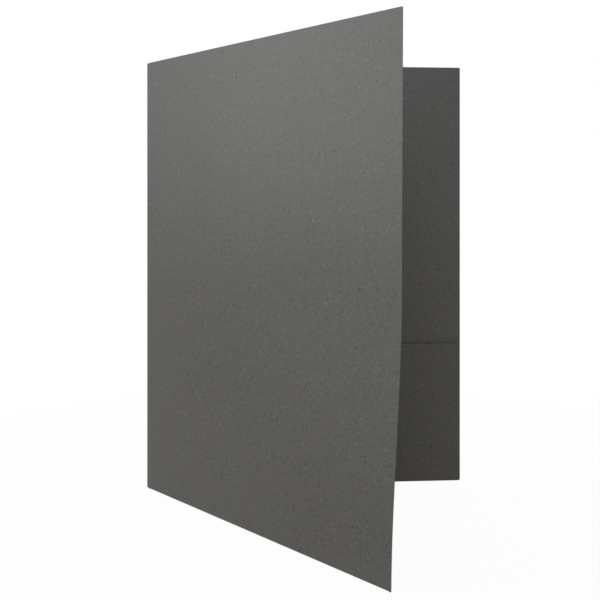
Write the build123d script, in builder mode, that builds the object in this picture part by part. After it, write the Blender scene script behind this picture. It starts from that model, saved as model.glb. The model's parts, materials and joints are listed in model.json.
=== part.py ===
from build123d import *
import os
from math import cos, radians, sin

# A two pocket folder: one die-cut sheet of card, scored, folded and glued, standing part open.
# The covers turn about the Z axis, round which the spine is rolled. The back cover is parallel
# to XZ with its free edge at +X, and the front cover swings towards -Y. The bottom folds and the
# spine stand on Z = 0. Millimetres.

# Card and covers
stock = 0.36  # thickness of the card
cover_width = 228.6  # outside of the spine to the free edge
cover_height = 304.8  # foot to the top edge
open_angle = 48.0  # degrees between the covers as the folder stands

# Pockets
pocket_height = 101.6  # foot to mouth
pocket_gap_foot = 3.2  # spine to the pocket's slanted edge, at the foot
pocket_gap_mouth = 9.5  # the same at the mouth
pocket_inset = 0.8  # free edge of the cover to the outside of the pocket's side fold

# Tab that glues each pocket to its cover
tab_width = 16.0
tab_taper = 6.0  # height that each end of the tab loses across its width
tab_foot = 3.0  # foot to the lower end of the side fold, which clears the bottom fold
side_fold_radius = 0.12  # inside the side fold
glue_thickness = 0.06
glue_margin = 2.5  # bare border round the adhesive

# Slits in the right pocket that take the corners of a business card
card_width = 88.9
card_height = 50.8
slit_reach = 12.7  # corner of the card to where a slit crosses the card's edge
slit_length = 22.0
slit_width = 0.6
slit_slant = 45.0  # degrees to the edges of the card

# Spine
crease_clearance = 0.06  # end of the spine fold to the edge of a cover
shut_clearance = 0.2  # between the two pockets when the folder is shut

# Levels of the layers above the middle of a cover, on its inner side
half_stock = stock / 2
tab_glued_face = half_stock + glue_thickness
tab_free_face = tab_glued_face + stock
pocket_rear_face = tab_free_face + 2 * side_fold_radius
pocket_front_face = pocket_rear_face + stock

# The spine is rolled wide enough for both pockets to meet between the shut covers
spine_radius = pocket_front_face + shut_clearance / 2
cover_reach = cover_width - spine_radius - half_stock

# The bottom fold bridges cover and pocket, and the side fold bridges pocket and tab
bottom_fold_radius = (pocket_rear_face - half_stock) / 2
hem_height = bottom_fold_radius + stock
side_fold_reach = side_fold_radius + stock
side_fold_line = cover_reach - pocket_inset - side_fold_reach

# Corners of a tab: full height at the side fold, with both ends tapered towards its inner edge
tab_edge = side_fold_line - tab_width
tab_corners = (
    (side_fold_line, tab_foot),
    (side_fold_line, pocket_height),
    (tab_edge, pocket_height - tab_taper),
    (tab_edge, tab_foot + tab_taper),
)

# Each leaf's plane lies in the middle of its cover, with X from the spine to the free edge and Y
# up. Its normal points to the inner side of the back cover, but to the outer side of the front.
swing = radians(open_angle)
front_outward = Vector(-sin(swing), -cos(swing), 0)
back_leaf = Plane(origin=(0, spine_radius, 0), x_dir=(1, 0, 0), z_dir=(0, -1, 0))
front_leaf = Plane(
    origin=front_outward * spine_radius,
    x_dir=(cos(swing), -sin(swing), 0),
    z_dir=front_outward,
)
BACK_INWARD = 1
FRONT_INWARD = -1


def make_spine_fold():
    """The creased strip between the covers, rolled about the hinge axis as far as they are shut."""
    with BuildPart() as roll:
        with BuildSketch(Plane.YZ):
            with Locations((spine_radius, 0)):
                Rectangle(stock, cover_height, align=(Align.CENTER, Align.MIN))
        revolve(axis=Axis.Z, revolution_arc=180 - open_angle)
    return roll.part


def make_cover(leaf):
    """A cover panel, whose foot is cut away between its two ends for the bottom fold."""
    with BuildPart() as panel:
        with BuildSketch(leaf):
            Polygon(
                (crease_clearance, 0),
                (pocket_gap_foot, 0),
                (pocket_gap_foot, hem_height),
                (side_fold_line, hem_height),
                (side_fold_line, 0),
                (cover_reach, 0),
                (cover_reach, cover_height),
                (crease_clearance, cover_height),
                align=None,
            )
        extrude(amount=half_stock, both=True)
    return panel.part


def make_pocket_fold(leaf, inward):
    """The rolled bottom fold, a half tube along the cover that joins it to its pocket."""
    centre = (pocket_gap_foot, hem_height, inward * (half_stock + bottom_fold_radius))
    section = Plane(
        origin=leaf.from_local_coords(centre), x_dir=leaf.z_dir, z_dir=-leaf.x_dir
    )
    with BuildPart() as fold:
        with BuildSketch(section):
            Circle(hem_height)
            Circle(bottom_fold_radius, mode=Mode.SUBTRACT)
            Rectangle(
                2 * hem_height,
                hem_height,
                align=(Align.CENTER, Align.MAX),
                mode=Mode.INTERSECT,
            )
        extrude(amount=pocket_gap_foot - side_fold_line)
    return fold.part


def cut_card_slits():
    """Takes four slanting slits out of the pocket being drawn, one across each corner of a card."""
    middle_x = (pocket_gap_mouth + side_fold_line) / 2
    middle_z = (hem_height + pocket_height) / 2
    for right in (-1, 1):
        for up in (-1, 1):
            corner_x = middle_x + right * (card_width - slit_reach) / 2
            corner_z = middle_z + up * (card_height - slit_reach) / 2
            with Locations((corner_x, corner_z)):
                SlotOverall(
                    slit_length,
                    slit_width,
                    rotation=-right * up * slit_slant,
                    mode=Mode.SUBTRACT,
                )


def make_pocket(leaf, inward, has_slits):
    """A pocket panel, slanted along the spine so that sheets slide in."""
    with BuildPart() as panel:
        with BuildSketch(leaf.offset(inward * pocket_rear_face)):
            Polygon(
                (pocket_gap_foot, hem_height),
                (side_fold_line, hem_height),
                (side_fold_line, pocket_height),
                (pocket_gap_mouth, pocket_height),
                align=None,
            )
            if has_slits:
                cut_card_slits()
        extrude(amount=inward * stock)
    return panel.part


def make_side_fold(leaf, inward):
    """The upright fold that turns the outer edge of a pocket back into its tab."""
    centre = (side_fold_line, tab_foot, inward * (tab_free_face + side_fold_radius))
    section = Plane(
        origin=leaf.from_local_coords(centre), x_dir=leaf.x_dir, z_dir=(0, 0, 1)
    )
    with BuildPart() as fold:
        with BuildSketch(section):
            Circle(side_fold_reach)
            Circle(side_fold_radius, mode=Mode.SUBTRACT)
            Rectangle(
                side_fold_reach,
                2 * side_fold_reach,
                align=(Align.MIN, Align.CENTER),
                mode=Mode.INTERSECT,
            )
        extrude(amount=pocket_height - tab_foot)
    return fold.part


def make_glue_tab(leaf, inward):
    """The tab folded in behind a pocket."""
    with BuildPart() as tab:
        with BuildSketch(leaf.offset(inward * tab_glued_face)):
            Polygon(*tab_corners, align=None)
        extrude(amount=inward * stock)
    return tab.part


def make_glue_line(leaf, inward):
    """The film of dried adhesive between a tab and its cover."""
    with BuildPart() as film:
        with BuildSketch(leaf.offset(inward * half_stock)):
            Polygon(*tab_corners, align=None)
            offset(amount=-glue_margin, kind=Kind.INTERSECTION, mode=Mode.REPLACE)
        extrude(amount=inward * glue_thickness)
    return film.part


pieces = {"spine_fold": make_spine_fold()}
leaves = (
    ("back", "right", back_leaf, BACK_INWARD),
    ("front", "left", front_leaf, FRONT_INWARD),
)
for cover_side, pocket_side, leaf, inward in leaves:
    pieces[f"{cover_side}_cover"] = make_cover(leaf)
    pieces[f"{pocket_side}_pocket_fold"] = make_pocket_fold(leaf, inward)
    pieces[f"{pocket_side}_pocket"] = make_pocket(leaf, inward, pocket_side == "right")
    pieces[f"{pocket_side}_side_fold"] = make_side_fold(leaf, inward)
    pieces[f"{pocket_side}_glue_tab"] = make_glue_tab(leaf, inward)
    pieces[f"{pocket_side}_glue_line"] = make_glue_line(leaf, inward)

os.makedirs("parts", exist_ok=True)
for name, piece in pieces.items():
    piece.label = name
    export_step(piece, f"parts/{name}.step")
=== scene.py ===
import json
import math

import bmesh
import bpy
from mathutils import Matrix, Vector, geometry, kdtree


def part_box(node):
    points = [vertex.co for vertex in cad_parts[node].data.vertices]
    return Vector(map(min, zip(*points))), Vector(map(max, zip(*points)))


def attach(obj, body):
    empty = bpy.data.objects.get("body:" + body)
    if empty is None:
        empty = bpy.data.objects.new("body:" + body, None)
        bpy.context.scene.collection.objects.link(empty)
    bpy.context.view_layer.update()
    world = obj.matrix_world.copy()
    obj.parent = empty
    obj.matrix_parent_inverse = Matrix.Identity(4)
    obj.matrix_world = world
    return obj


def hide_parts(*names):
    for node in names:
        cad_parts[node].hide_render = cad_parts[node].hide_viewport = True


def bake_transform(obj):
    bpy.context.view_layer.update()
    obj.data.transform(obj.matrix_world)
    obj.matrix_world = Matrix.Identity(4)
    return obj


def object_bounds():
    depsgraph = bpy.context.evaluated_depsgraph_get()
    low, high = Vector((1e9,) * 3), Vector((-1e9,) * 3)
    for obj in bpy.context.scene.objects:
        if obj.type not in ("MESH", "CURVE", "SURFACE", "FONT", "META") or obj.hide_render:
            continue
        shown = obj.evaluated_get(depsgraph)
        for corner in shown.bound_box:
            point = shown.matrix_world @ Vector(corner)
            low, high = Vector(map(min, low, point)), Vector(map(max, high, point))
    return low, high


# A charcoal two pocket folder of creased card, standing part open. All lengths are in metres.

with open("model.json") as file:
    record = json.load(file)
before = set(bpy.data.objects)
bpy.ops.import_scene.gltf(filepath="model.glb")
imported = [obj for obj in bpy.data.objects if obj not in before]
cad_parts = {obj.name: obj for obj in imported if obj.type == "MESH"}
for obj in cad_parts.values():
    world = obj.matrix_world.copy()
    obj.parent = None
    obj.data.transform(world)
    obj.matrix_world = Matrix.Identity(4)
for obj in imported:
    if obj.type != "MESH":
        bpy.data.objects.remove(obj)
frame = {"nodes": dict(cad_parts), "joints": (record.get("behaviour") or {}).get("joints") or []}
cad_low, cad_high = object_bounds()

# Sizes of the solids, and the opening at rest, since the folder is shut at its hinge's lower limit
cover_low, cover_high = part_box("back_cover")
pocket_low, pocket_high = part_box("right_pocket")
hem_low, hem_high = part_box("right_pocket_fold")
side_low, side_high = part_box("right_side_fold")
STOCK = cover_high.y - cover_low.y
HALF_STOCK = STOCK / 2
SPINE_RADIUS = (cover_low.y + cover_high.y) / 2
COVER_REACH = cover_high.x
COVER_TOP = cover_high.z
HEM_TOP = hem_high.z
POCKET_TOP = pocket_high.z
FOLD_LINE = pocket_high.x
REST_OPENING = math.radians(-frame["joints"][0]["range_deg"][0])

# The front cover stands a touch shut at its top, twists open on the way down and bows out at its foot
TOP_LEAN = math.radians(-0.10)
TWIST = math.radians(0.51)
FOOT_BOW = math.radians(1.94)
BOW_HEIGHT = 0.153

# The mouth of the right pocket gapes a little, and closes towards its side fold
GAPE = 0.0026
GAPE_CLOSES = 0.005

# The spine strip laps onto both covers as far as the bottom folds, and its ends are rubbed down
SPINE_LAP = hem_low.x
SPINE_TOP_WEAR = 0.0004
SPINE_FOOT_WEAR = 0.0007

# Free corners of the covers
CORNER_RADIUS = 0.0008

# Slits for a business card
CARD_WIDTH = 0.0889
CARD_HEIGHT = 0.0508
SLIT_REACH = 0.0127
SLIT_LENGTH = 0.022
SLIT_WIDTH = 0.0006
SLIT_SLANT = math.radians(45)

# Borders in which the cut edges are rubbed, and how rubbed the folds are, from 0 to 1. The wider pale border
# along each pocket's mouth and slanting edge is rubbing and a painted highlight on the cut edge
WORN_BORDER = 0.0004
MOUTH_RUB_AND_HIGHLIGHT = 0.0010
SPINE_RUB = 0.3
BOTTOM_FOLD_RUB = 0.7
SIDE_FOLD_RUB = 0.6

# Mesh spacing
PANEL_STEP = 0.005
LEAST_STEP = PANEL_STEP / 3
CORNER_STEPS = 6
ROLL_STEPS = 16
SPINE_STEPS = 28
LAP_STEPS = 3
TINY = 1e-6
MERGE_DISTANCE = TINY / 10
TRIANGLES_INSIDE = 1  # the kind of triangulation that keeps to its outline


def smooth(t):
    """A soft step from 0 to 1, as t goes from 0 to 1."""
    t = min(max(t, 0.0), 1.0)
    return t * t * (3 - 2 * t)


def opening(z):
    """Angle between the covers at a height."""
    twist = TWIST * (1 - z / COVER_TOP)
    return REST_OPENING + TOP_LEAN + twist + FOOT_BOW * smooth(1 - z / BOW_HEIGHT)


def on_back(s, z, level):
    """A point s from the spine and z up, on a layer so far inwards from the middle of the back cover."""
    return Vector((s, SPINE_RADIUS - level, z))


def on_front(s, z, level):
    """The same on the front cover."""
    angle, out = opening(z), SPINE_RADIUS - level
    return Vector((
        s * math.cos(angle) - out * math.sin(angle),
        -s * math.sin(angle) - out * math.cos(angle),
        z,
    ))


def level_of(low, high):
    """Level of the middle of a layer of the back leaf, from its solid's box."""
    return SPINE_RADIUS - (low.y + high.y) / 2


def node_ends(node, axis, value):
    """Lowest and highest point of a node across the back leaf, where its given coordinate has that value."""
    other = {"x": "z", "z": "x"}[axis]
    points = [v.co for v in frame["nodes"][node].data.vertices]
    found = [getattr(p, other) for p in points if abs(getattr(p, axis) - value) < TINY]
    return min(found), max(found)


# Flat outlines and the sheets cut to them


def spread(start, end, step):
    """Evenly spaced values from start to end, no further apart than step."""
    count = max(1, math.ceil(abs(end - start) / step))
    return [start + (end - start) * i / count for i in range(count + 1)]


def along_outline(corners, step):
    """Points round a closed outline, no further apart than step."""
    points = []
    for start, end in zip(corners, corners[1:] + corners[:1]):
        count = len(spread(0, (end - start).length, step)) - 1
        points += [start.lerp(end, i / count) for i in range(count)]
    return points


def round_corners(corners, numbers, radius):
    """An outline with some of its square corners, given by their numbers, rounded."""
    outline = []
    for number, corner in enumerate(corners):
        if number in numbers:
            before = (corners[number - 1] - corner).normalized() * radius
            after = (corners[(number + 1) % len(corners)] - corner).normalized() * radius
            centre = corner + before + after
            for turn in spread(0, math.pi / 2, math.pi / 2 / CORNER_STEPS):
                outline.append(centre - after * math.cos(turn) - before * math.sin(turn))
        else:
            outline.append(corner)
    return outline


def is_inside(spot, corners):
    """Whether a point lies inside a closed outline."""
    inside = False
    for start, end in zip(corners, corners[1:] + corners[:1]):
        if (start.y > spot.y) != (end.y > spot.y):
            share = (spot.y - start.y) / (end.y - start.y)
            inside ^= spot.x < start.x + share * (end.x - start.x)
    return inside


def inset(corners, margin):
    """An outline moved inwards by margin."""
    moved = []
    for before, corner, after in zip(corners[-1:] + corners[:-1], corners, corners[1:] + corners[:1]):
        a, b = (corner - before).normalized(), (after - corner).normalized()
        turn = a.x * b.y - a.y * b.x
        moved.append(corner + (b - a) * margin / turn)
    return moved


def cut_card(corners, border, holes=()):
    """Points and triangles of a flat sheet cut to an outline, with a narrow border and holes."""
    rims = [along_outline(c, PANEL_STEP) for c in (corners, inset(corners, border))]
    loops = rims + list(holes)
    points = [p for loop in loops for p in loop]
    owners = [number for number, loop in enumerate(loops) for _ in loop]
    edges = []
    for loop in loops:
        first = len(edges)
        edges += [(first + i, first + (i + 1) % len(loop)) for i in range(len(loop))]

    # The rest of the sheet is filled with a grid that keeps clear of the outlines
    drawn = kdtree.KDTree(len(points))
    for number, point in enumerate(points):
        drawn.insert(point.to_3d(), number)
    drawn.balance()
    low_x, high_x = (f(c.x for c in corners) for f in (min, max))
    low_y, high_y = (f(c.y for c in corners) for f in (min, max))
    for x in spread(low_x, high_x, PANEL_STEP):
        for y in spread(low_y, high_y, PANEL_STEP):
            spot = Vector((x, y))
            if is_inside(spot, corners) and drawn.find(spot.to_3d())[2] > LEAST_STEP:
                points.append(spot)
                owners.append(0)

    # A triangle whose corners all lie on the outline of one hole fills that hole
    flat, _, faces, origins, *_ = geometry.delaunay_2d_cdt(
        points, edges, [], TRIANGLES_INSIDE, MERGE_DISTANCE)
    owner_of = [owners[o[0]] for o in origins]
    in_hole = [len({owner_of[i] for i in f}) == 1 and owner_of[f[0]] >= len(rims) for f in faces]
    return flat, [f for f, gone in zip(faces, in_hole) if not gone]


def cut_grid(across, along):
    """Points and quads of a sheet on a grid."""
    flat = [Vector((a, b)) for b in along for a in across]
    wide = len(across)
    first_corners = [j * wide + i for j in range(len(along) - 1) for i in range(wide - 1)]
    return flat, [(n, n + 1, n + wide + 1, n + wide) for n in first_corners]


def map_sheet(mesh, flat, wear):
    """Lays a map in metres over a sheet, and stores how rubbed it is.

    One face is moved by the card's thickness on the map, so that the rim has a width there too.
    """
    count = len(flat)
    leaf_map = mesh.uv_layers.new(name="leaf")
    for loop in mesh.loops:
        a, b = flat[loop.vertex_index % count]
        leaf_map.data[loop.index].uv = (a + (STOCK if loop.vertex_index < count else 0), b)
    rubbed = mesh.attributes.new("wear", "FLOAT", "POINT")
    rubbed.data.foreach_set("value", [wear(a, b) for _ in range(2) for a, b in flat])


def finish_sheet(mesh, first_rim, materials):
    """Gives the faces their materials, turns them outwards and keeps the edges of the rim sharp."""
    for material in materials:
        mesh.materials.append(material)
    for face in mesh.polygons:
        is_rim = face.index >= first_rim
        face.use_smooth = not is_rim
        face.material_index = len(materials) - 1 if is_rim else 0
    made = bmesh.new()
    made.from_mesh(mesh)
    bmesh.ops.recalc_face_normals(made, faces=made.faces)
    made.faces.ensure_lookup_table()
    for face in made.faces[first_rim:]:
        for edge in face.edges:
            edge.smooth = False
    made.to_mesh(mesh)
    made.free()


def make_sheet(name, cut, point, materials, wear):
    """A closed sheet: point(a, b, side) places each flat point on both faces, and a rim joins them.

    The rim has the last of the materials. wear(a, b) is how rubbed the card is there, from 0 to 1.
    """
    flat, faces = cut
    count = len(flat)
    places = [point(a, b, side) for side in (1, -1) for a, b in flat]
    steps = {(f[i - 1], f[i]) for f in faces for i in range(len(f))}
    rim = [(j, i, i + count, j + count) for i, j in sorted(steps) if (j, i) not in steps]
    back = [tuple(i + count for i in reversed(f)) for f in faces]
    mesh = bpy.data.meshes.new(name)
    mesh.from_pydata(places, [], [tuple(f) for f in faces] + back + rim)
    map_sheet(mesh, flat, wear)
    finish_sheet(mesh, 2 * len(faces), materials)
    piece = bpy.data.objects.new(name, mesh)
    bpy.context.scene.collection.objects.link(piece)
    return piece


# Materials

# Card as it is, where it is cut, and pale where it is rubbed, along its fibres and in the painted highlight
# along the pocket mouths
CHARCOAL = (0.143, 0.137, 0.129, 1.0)
CUT_CHARCOAL = (0.165, 0.161, 0.151, 1.0)
PALE_CHARCOAL = (0.235, 0.230, 0.215, 1.0)
CARD_ROUGHNESS = (0.36, 0.46)
CARD_SHINE = 0.25
CARD_RELIEF = (0.35, 0.00005)  # strength and depth

# Flecks in the card: their size, how bent they are, how far from the middle of the noise they start and
# are full, and the patches in which their contrast comes and goes
NOISE_MIDDLE = 0.5
FLECK_SIZE = 0.0018
FLECK_BEND = 1.0
FLECK_START = 0.08
FLECK_FULL = 0.28
PATCH_SIZE = 0.014
PATCH_SPAN = (0.3, 0.7)
PATCH_CONTRAST = (0.22, 0.50)

# Broader and fainter changes of tone
MOTTLE_SIZE = 0.0042
CLOUD_SIZE = 0.075
BROAD_CONTRAST = 0.05

# Fibres that lie two ways: the turn, length and width of each kind, and how sparse, pale and raised they are
FIBRE_KINDS = (
    (math.radians(24), 0.0022, 0.00011),
    (math.radians(-58), 0.0018, 0.00010),
)
FIBRE_SHARE = 0.34
FIBRE_TINT = 0.22
FIBRE_HEIGHT = 0.5

# Rubbing: the size of its patches, where in the noise they begin and are full, and how pale they get
RUB_SIZE = 0.0016
RUB_COARSENESS = 0.65
RUB_SPAN = (0.4, 0.7)
RUB_TINT = (0.1, 0.8)

# Adhesive
FLOW_SIZE = 0.0035
THIN_GLUE = (0.60, 0.57, 0.47, 1.0)
THICK_GLUE = (0.78, 0.76, 0.68, 1.0)
GLUE_ROUGHNESS = (0.28, 0.5)
GLUE_SHINE = 0.5
GLUE_RELIEF = (0.4, 0.0001)


def feed(tree, socket, value):
    """Links a socket to another one, or sets it to a value."""
    if isinstance(value, bpy.types.NodeSocket):
        tree.links.new(value, socket)
    else:
        socket.default_value = value


def add_node(tree, kind, settings=None, **inputs):
    """A shader node with its settings, and its inputs set or linked."""
    made = tree.nodes.new(kind)
    for key, value in (settings or {}).items():
        setattr(made, key, value)
    for key, value in inputs.items():
        feed(tree, made.inputs[key.replace("_", " ")], value)
    return made


def add_mix(tree, factor, first, second):
    """A colour mixed from two, each a colour or a socket."""
    mixer = add_node(tree, "ShaderNodeMix", {"data_type": "RGBA"})
    factor_input, first_input, second_input, colour_output = 0, 6, 7, 2
    feed(tree, mixer.inputs[factor_input], factor)
    feed(tree, mixer.inputs[first_input], first)
    feed(tree, mixer.inputs[second_input], second)
    return mixer.outputs[colour_output]


def add_math(tree, operation, *values):
    """A sum, product or other operation on numbers or sockets."""
    maths = add_node(tree, "ShaderNodeMath", {"operation": operation})
    for socket, value in zip(maths.inputs, values):
        feed(tree, socket, value)
    return maths.outputs["Value"]


def add_ramp(tree, value, start, end, low=0.0, high=1.0):
    """A value that goes from low to high as another goes from start to end."""
    return add_node(tree, "ShaderNodeMapRange", Value=value, From_Min=start, From_Max=end,
                    To_Min=low, To_Max=high).outputs["Result"]


def add_noise(tree, where, size, detail, roughness=0.5, bend=0.0):
    """Noise with features of a size in metres."""
    return add_node(tree, "ShaderNodeTexNoise", {"noise_dimensions": "3D"}, Vector=where, Scale=1 / size,
                    Detail=detail, Roughness=roughness, Distortion=bend).outputs["Fac"]


def add_fibres(tree, where, turn, length, width):
    """Sparse fibres that lie one way."""
    turned = add_node(tree, "ShaderNodeMapping", Vector=where, Rotation=(0, 0, turn),
                      Scale=(1 / length, 1 / width, 1))
    noise = add_noise(tree, turned.outputs["Vector"], size=1, detail=1)
    return add_ramp(tree, noise, 1 - FIBRE_SHARE, 1 - FIBRE_SHARE / 2)


def add_surface(tree, colour, height, relief, roughness, shine):
    """The surface that ends a material, with a fine relief."""
    strength, depth = relief
    bump = add_node(tree, "ShaderNodeBump", Strength=strength, Distance=depth, Height=height)
    shader = add_node(tree, "ShaderNodeBsdfPrincipled", Base_Color=colour, Normal=bump.outputs["Normal"],
                      Roughness=roughness, Specular_IOR_Level=shine)
    add_node(tree, "ShaderNodeOutputMaterial", Surface=shader.outputs["BSDF"])


def new_material(name):
    """A material and its node tree, still empty."""
    material = bpy.data.materials.new(name)
    material.use_nodes = True
    tree = material.node_tree
    tree.nodes.clear()
    return material, tree


def card_material(name, colour):
    """Uncoated card: pale and dark flecks, soft mottle, a few fibres, and a paler tone where it is rubbed,
    which along the pocket mouths is also a painted highlight.
    """
    material, tree = new_material(name)
    where = add_node(tree, "ShaderNodeUVMap", {"uv_map": "leaf"}).outputs["UV"]
    grain = add_noise(tree, where, FLECK_SIZE, detail=1, bend=FLECK_BEND)
    patches = add_noise(tree, where, PATCH_SIZE, detail=2)
    mottle = add_noise(tree, where, MOTTLE_SIZE, detail=3)
    cloud = add_noise(tree, where, CLOUD_SIZE, detail=2)
    fibres = add_math(tree, "MAXIMUM", *(add_fibres(tree, where, *kind) for kind in FIBRE_KINDS))

    pale = add_ramp(tree, grain, NOISE_MIDDLE + FLECK_START, NOISE_MIDDLE + FLECK_FULL)
    dark = add_ramp(tree, grain, NOISE_MIDDLE - FLECK_START, NOISE_MIDDLE - FLECK_FULL)
    contrast = add_ramp(tree, patches, *PATCH_SPAN, *PATCH_CONTRAST)
    tone = add_math(tree, "MULTIPLY_ADD", add_math(tree, "SUBTRACT", pale, dark), contrast, 1.0)
    for broad in (mottle, cloud):
        tone = add_math(tree, "ADD", tone, add_ramp(tree, broad, 0, 1, -BROAD_CONTRAST, BROAD_CONTRAST))
    face = add_node(tree, "ShaderNodeVectorMath", {"operation": "SCALE"},
                    Vector=colour[:3], Scale=tone).outputs["Vector"]
    face = add_mix(tree, add_math(tree, "MULTIPLY", fibres, FIBRE_TINT), face, PALE_CHARCOAL)

    # The wear attribute is rubbing, and along the pocket mouths it is also a painted highlight
    rub = add_node(tree, "ShaderNodeAttribute", {"attribute_name": "wear"}).outputs["Fac"]
    rub_noise = add_noise(tree, where, RUB_SIZE, detail=5, roughness=RUB_COARSENESS)
    patchy = add_ramp(tree, rub_noise, *RUB_SPAN, *RUB_TINT)
    face = add_mix(tree, add_math(tree, "MULTIPLY", rub, patchy), face, PALE_CHARCOAL)

    height = add_math(tree, "ADD", grain, add_math(tree, "MULTIPLY", fibres, FIBRE_HEIGHT))
    roughness = add_ramp(tree, mottle, 0, 1, *CARD_ROUGHNESS)
    add_surface(tree, face, height, CARD_RELIEF, roughness, CARD_SHINE)
    return material


def glue_material():
    """A dried film of adhesive, thicker in some places than in others."""
    material, tree = new_material("dried_adhesive")
    where = add_node(tree, "ShaderNodeUVMap", {"uv_map": "leaf"}).outputs["UV"]
    flow = add_noise(tree, where, FLOW_SIZE, detail=3)
    face = add_mix(tree, flow, THIN_GLUE, THICK_GLUE)
    roughness = add_ramp(tree, flow, 0, 1, *GLUE_ROUGHNESS)
    add_surface(tree, face, flow, GLUE_RELIEF, roughness, GLUE_SHINE)
    return material


# The faces of a sheet have the first material, and its rim the last
CARD_MATERIALS = (
    card_material("charcoal_card", CHARCOAL),
    card_material("charcoal_cut_edge", CUT_CHARCOAL),
)
GLUE_MATERIALS = (glue_material(),)


# Pieces of the folder


def border_wear(corners, border, cut_sides):
    """Wear that is full on the cut sides of an outline, and gone inside its border."""
    ends = [(corners[i], corners[(i + 1) % len(corners)]) for i in cut_sides]

    def wear(a, b):
        gaps = [abs((end - start).normalized().cross(Vector((a, b)) - start)) for start, end in ends]
        return 1.0 if min(gaps) < border / 2 else 0.0

    return wear


def make_cover(name, place):
    """A cover from the lap of the spine to its free edge, cut away at its foot for the bottom fold."""
    corners = [Vector(c) for c in ((SPINE_LAP, HEM_TOP), (FOLD_LINE, HEM_TOP), (FOLD_LINE, 0),
                                   (COVER_REACH, 0), (COVER_REACH, COVER_TOP), (SPINE_LAP, COVER_TOP))]
    free_corners, cut_sides = (3, 4), (2, 3, 4)

    def point(s, z, side):
        return place(s, z, -side * HALF_STOCK)

    cut = cut_card(round_corners(corners, free_corners, CORNER_RADIUS), WORN_BORDER)
    return make_sheet(name, cut, point, CARD_MATERIALS, border_wear(corners, WORN_BORDER, cut_sides))


def make_spine_fold(name):
    """The rolled strip between the covers, with a lap on each."""
    roll_length = SPINE_RADIUS * (math.pi - REST_OPENING)
    width = roll_length + 2 * SPINE_LAP

    def point(a, z, side):
        level = -side * HALF_STOCK
        rubbed = math.sin(math.pi * (a + SPINE_LAP) / width) ** 2
        height = min(max(z, SPINE_FOOT_WEAR * rubbed), COVER_TOP - SPINE_TOP_WEAR * rubbed)
        if a < 0:
            return on_back(-a, height, level)
        if a > roll_length:
            return on_front(a - roll_length, height, level)
        turn, radius = a / roll_length * (math.pi - opening(z)), SPINE_RADIUS - level
        return Vector((-radius * math.sin(turn), radius * math.cos(turn), height))

    def wear(a, z):
        return SPINE_RUB * math.sin(math.pi * min(max(a / roll_length, 0.0), 1.0)) ** 2

    lap = spread(0, SPINE_LAP, SPINE_LAP / LAP_STEPS)
    across = [-a for a in reversed(lap[1:])] + spread(0, roll_length, roll_length / SPINE_STEPS)
    across += [roll_length + a for a in lap[1:]]
    cut = cut_grid(across, spread(0, COVER_TOP, PANEL_STEP))
    return make_sheet(name, cut, point, CARD_MATERIALS, wear)


def make_roll(name, radius, along, on_roll, rub):
    """A half tube of card, most rubbed in the middle of its turn.

    on_roll(r, turn, b) places a point at a radius and a turn, b along the tube.
    """
    half_turn = math.pi * radius

    def point(a, b, side):
        return on_roll(radius + side * HALF_STOCK, a / radius, b)

    def wear(a, b):
        return rub * math.sin(a / radius)

    cut = cut_grid(spread(0, half_turn, half_turn / ROLL_STEPS), along)
    return make_sheet(name, cut, point, CARD_MATERIALS, wear)


def make_pocket_fold(name, place):
    """The rolled bottom fold, from the foot of the cover to the foot of the pocket."""
    middle, outer = level_of(hem_low, hem_high), HEM_TOP - hem_low.z

    def on_roll(r, turn, s):
        return place(s, HEM_TOP - r * math.sin(turn), middle - r * math.cos(turn))

    along = spread(hem_low.x, hem_high.x, PANEL_STEP)
    return make_roll(name, outer - HALF_STOCK, along, on_roll, BOTTOM_FOLD_RUB)


def make_side_fold(name, place):
    """The upright fold from the outer edge of a pocket round to its tab."""
    middle, outer = level_of(side_low, side_high), side_high.x - side_low.x

    def on_roll(r, turn, z):
        return place(side_low.x + r * math.sin(turn), z, middle + r * math.cos(turn))

    along = spread(side_low.z, side_high.z, PANEL_STEP)
    return make_roll(name, outer - HALF_STOCK, along, on_roll, SIDE_FOLD_RUB)


def card_slits():
    """Outlines of four slanting slits, one across each corner of a business card."""
    mouth_start = node_ends("right_pocket", "z", POCKET_TOP)[0]
    middle = Vector(((mouth_start + FOLD_LINE) / 2, (HEM_TOP + POCKET_TOP) / 2))
    tip, half = Vector((SLIT_LENGTH / 2, 0)), SLIT_WIDTH / 2
    straight = spread(-SLIT_LENGTH / 2 + half, SLIT_LENGTH / 2 - half, PANEL_STEP / 2)
    outline = [Vector((x, -half)) for x in straight] + [tip]
    outline += [Vector((x, half)) for x in reversed(straight)] + [-tip]
    slits = []
    for right in (-1, 1):
        for up in (-1, 1):
            away = Vector((right * (CARD_WIDTH - SLIT_REACH), up * (CARD_HEIGHT - SLIT_REACH))) / 2
            slant = Matrix.Rotation(-right * up * SLIT_SLANT, 2)
            slits.append([middle + away + slant @ p for p in outline])
    return slits


def make_pocket(name, place, gape, holes=()):
    """A pocket panel, slanted along the spine, whose mouth stands open by gape."""
    middle = level_of(pocket_low, pocket_high)
    foot_start, mouth_start = (node_ends("right_pocket", "z", z)[0] for z in (HEM_TOP, POCKET_TOP))
    corners = [Vector(c) for c in ((foot_start, HEM_TOP), (FOLD_LINE, HEM_TOP),
                                   (FOLD_LINE, POCKET_TOP), (mouth_start, POCKET_TOP))]
    cut_sides = (2, 3)

    def point(s, z, side):
        rise = (z - HEM_TOP) / (POCKET_TOP - HEM_TOP)
        bow = gape * rise ** 2 * s / FOLD_LINE * smooth((FOLD_LINE - s) / GAPE_CLOSES)
        return place(s, z, middle + bow + side * HALF_STOCK)

    # The wide pale border along the mouth and slanting edge is rubbing and a painted highlight on the cut
    # edge
    cut = cut_card(corners, MOUTH_RUB_AND_HIGHLIGHT, holes)
    return make_sheet(name, cut, point, CARD_MATERIALS, border_wear(corners, MOUTH_RUB_AND_HIGHLIGHT, cut_sides))


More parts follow.
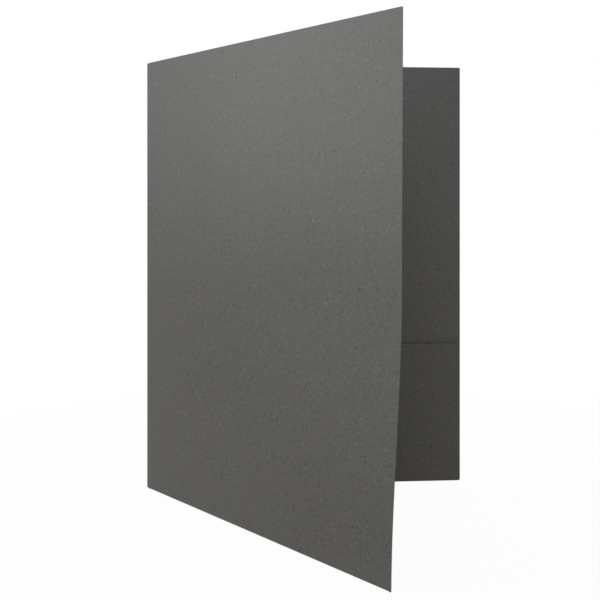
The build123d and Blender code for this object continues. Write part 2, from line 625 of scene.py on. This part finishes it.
def make_flat_patch(name, node, place, materials):
    """A flat piece behind a pocket, cut to the outline of its solid on the back leaf."""
    low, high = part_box(node)
    inner, outer = (node_ends(node, "x", x) for x in (low.x, high.x))
    corners = [Vector(c) for c in ((low.x, inner[0]), (high.x, outer[0]),
                                   (high.x, outer[1]), (low.x, inner[1]))]
    middle, half = level_of(low, high), (high.y - low.y) / 2
    cut_sides = (0, 2, 3)

    def point(s, z, side):
        return place(s, z, middle + side * half)

    cut = cut_card(corners, WORN_BORDER)
    return make_sheet(name, cut, point, materials, border_wear(corners, WORN_BORDER, cut_sides))


def finish_piece(piece, node, body):
    """Hides the solid that a piece is shown for, and attaches the piece to the body it moves with."""
    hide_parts(node)
    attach(piece, body)


def make_leaf(cover_body, pocket_side, place, gape, holes=()):
    """A cover with its pocket, folds, tab and adhesive, on one body."""
    made = {
        f"{cover_body}_cover": make_cover(f"{cover_body}_cover_card", place),
        f"{pocket_side}_pocket_fold": make_pocket_fold(f"{pocket_side}_pocket_fold_card", place),
        f"{pocket_side}_pocket": make_pocket(f"{pocket_side}_pocket_card", place, gape, holes),
        f"{pocket_side}_side_fold": make_side_fold(f"{pocket_side}_side_fold_card", place),
        f"{pocket_side}_glue_tab": make_flat_patch(
            f"{pocket_side}_glue_tab_card", "right_glue_tab", place, CARD_MATERIALS),
    }
    for node, piece in made.items():
        finish_piece(piece, node, cover_body)
    film = make_flat_patch(f"{pocket_side}_glue_film", "right_glue_line", place, GLUE_MATERIALS)
    finish_piece(film, f"{pocket_side}_glue_line", cover_body)


make_leaf("back", "right", on_back, GAPE, card_slits())
make_leaf("front", "left", on_front, 0.0)

spine = make_spine_fold("spine_fold_card")
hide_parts("spine_fold")
on_front(0, COVER_TOP, 0)
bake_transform(spine)


# Floor, light and camera

WHITE = (1.0, 1.0, 1.0, 1.0)
AMBIENT = (0.05, 0.05, 0.05, 1.0)

# The floor's shadow is faint, full out to its core and gone at its reach
FLOOR_SIZE = 8.0
FLOOR_COLOUR = (0.39, 0.36, 0.29, 1.0)
SHADOW_SHARE = 0.03
SHADOW_REACH = 0.55
SHADOW_CORE = SHADOW_REACH / 3

# Place, target, size, power and colour of each light. The key light is aimed past the folder, so that the
# front cover's free edge gets as much light as its spine.
FOLDER_MIDDLE = (0.08, -0.06, 0.17)
PAST_FOLDER = (-0.904, -0.898, 0.841)
LIGHTS = {
    "key": ((-1.60, -0.18, 0.72), PAST_FOLDER, 1.0, 18.5, (0.983, 1.0, 0.99)),
    "front": ((0.10, -1.20, 0.15), FOLDER_MIDDLE, 0.7, 2.02, (1.0, 0.885, 0.665)),
    "top": ((0.10, -0.55, 0.52), FOLDER_MIDDLE, 0.3, 1.14, (0.77, 0.87, 1.0)),
    "back": ((0.35, 1.10, 0.60), FOLDER_MIDDLE, 0.8, 7.0, (1.0, 1.0, 1.0)),
}

# Level camera, whose optical axis is above the middle of the frame. Lens and sensor are in millimetres.
CAMERA_PLACE = Vector((0.06850, -0.59307, 0.19322))
CAMERA_YAW = math.radians(-3.869)
CAMERA_LENS = 48.979
SENSOR_WIDTH = 36.0
FRAME_PIXELS = 600
AXIS_PIXEL_Y = 218.68
NEAR_CLIP = 0.01
FAR_CLIP = 50.0


def seen_directly(tree):
    """1 for rays that show the background itself: from the camera, a glossy face or a clear one."""
    path = add_node(tree, "ShaderNodeLightPath").outputs
    share = add_math(tree, "MAXIMUM", path["Is Camera Ray"], path["Is Glossy Ray"])
    return add_math(tree, "MAXIMUM", share, path["Is Transmission Ray"])


def make_world():
    """A white backdrop that lights the folder only a little."""
    world = bpy.data.worlds.new("studio")
    world.use_nodes = True
    tree = world.node_tree
    tree.nodes.clear()
    colour = add_mix(tree, seen_directly(tree), AMBIENT, WHITE)
    background = add_node(tree, "ShaderNodeBackground", Color=colour, Strength=1.0)
    add_node(tree, "ShaderNodeOutputWorld", Surface=background.outputs["Background"])
    bpy.context.scene.world = world


def floor_material():
    """A pale floor that is white to the eye, with a faint shadow near the folder."""
    material, tree = new_material("pale_floor")
    place = add_node(tree, "ShaderNodeTexCoord").outputs["Object"]
    away = add_node(tree, "ShaderNodeVectorMath", {"operation": "LENGTH"}, Vector=place).outputs["Value"]
    near = add_node(tree, "ShaderNodeMapRange", {"interpolation_type": "SMOOTHSTEP"}, Value=away,
                    From_Min=SHADOW_CORE, From_Max=SHADOW_REACH, To_Min=1 - SHADOW_SHARE, To_Max=1.0)
    seen = seen_directly(tree)
    share = add_math(tree, "MULTIPLY", seen, near.outputs["Result"])
    lit = add_node(tree, "ShaderNodeBsdfDiffuse", Color=add_mix(tree, seen, FLOOR_COLOUR, WHITE))
    glow = add_node(tree, "ShaderNodeEmission", Color=WHITE, Strength=1.0)
    mixed = add_node(tree, "ShaderNodeMixShader", Fac=share)
    tree.links.new(lit.outputs["BSDF"], mixed.inputs[1])
    tree.links.new(glow.outputs["Emission"], mixed.inputs[2])
    add_node(tree, "ShaderNodeOutputMaterial", Surface=mixed.outputs["Shader"])
    return material


def make_floor(middle):
    """A square floor under the middle of the folder."""
    mesh = bpy.data.meshes.new("floor")
    half = FLOOR_SIZE / 2
    corners = [(-half, -half, 0), (half, -half, 0), (half, half, 0), (-half, half, 0)]
    mesh.from_pydata(corners, [], [(0, 1, 2, 3)])
    mesh.materials.append(floor_material())
    floor = bpy.data.objects.new("floor", mesh)
    floor.location = (middle.x, middle.y, 0)
    bpy.context.scene.collection.objects.link(floor)


def add_light(name, place, target, size, power, colour):
    """A square soft light aimed at a point."""
    lamp = bpy.data.lights.new(name, "AREA")
    lamp.size, lamp.energy, lamp.color = size, power, colour
    light = bpy.data.objects.new(name, lamp)
    light.location = place
    light.rotation_mode = "QUATERNION"
    light.rotation_quaternion = (Vector(target) - Vector(place)).to_track_quat("-Z", "Y")
    bpy.context.scene.collection.objects.link(light)


def make_camera():
    """A camera that keeps verticals upright."""
    lens = bpy.data.cameras.new("camera")
    lens.sensor_width, lens.lens = SENSOR_WIDTH, CAMERA_LENS
    lens.shift_y = (AXIS_PIXEL_Y - FRAME_PIXELS / 2) / FRAME_PIXELS
    lens.clip_start, lens.clip_end = NEAR_CLIP, FAR_CLIP
    camera = bpy.data.objects.new("camera", lens)
    turn = Matrix.Rotation(CAMERA_YAW, 4, "Z") @ Matrix.Rotation(math.pi / 2, 4, "X")
    camera.matrix_world = Matrix.Translation(CAMERA_PLACE) @ turn
    bpy.context.scene.collection.objects.link(camera)
    bpy.context.scene.camera = camera


make_world()
make_floor((cad_low + cad_high) / 2)
for light_name, light_values in LIGHTS.items():
    add_light(light_name, *light_values)
make_camera()
bpy.context.scene.view_settings.view_transform = "Standard"
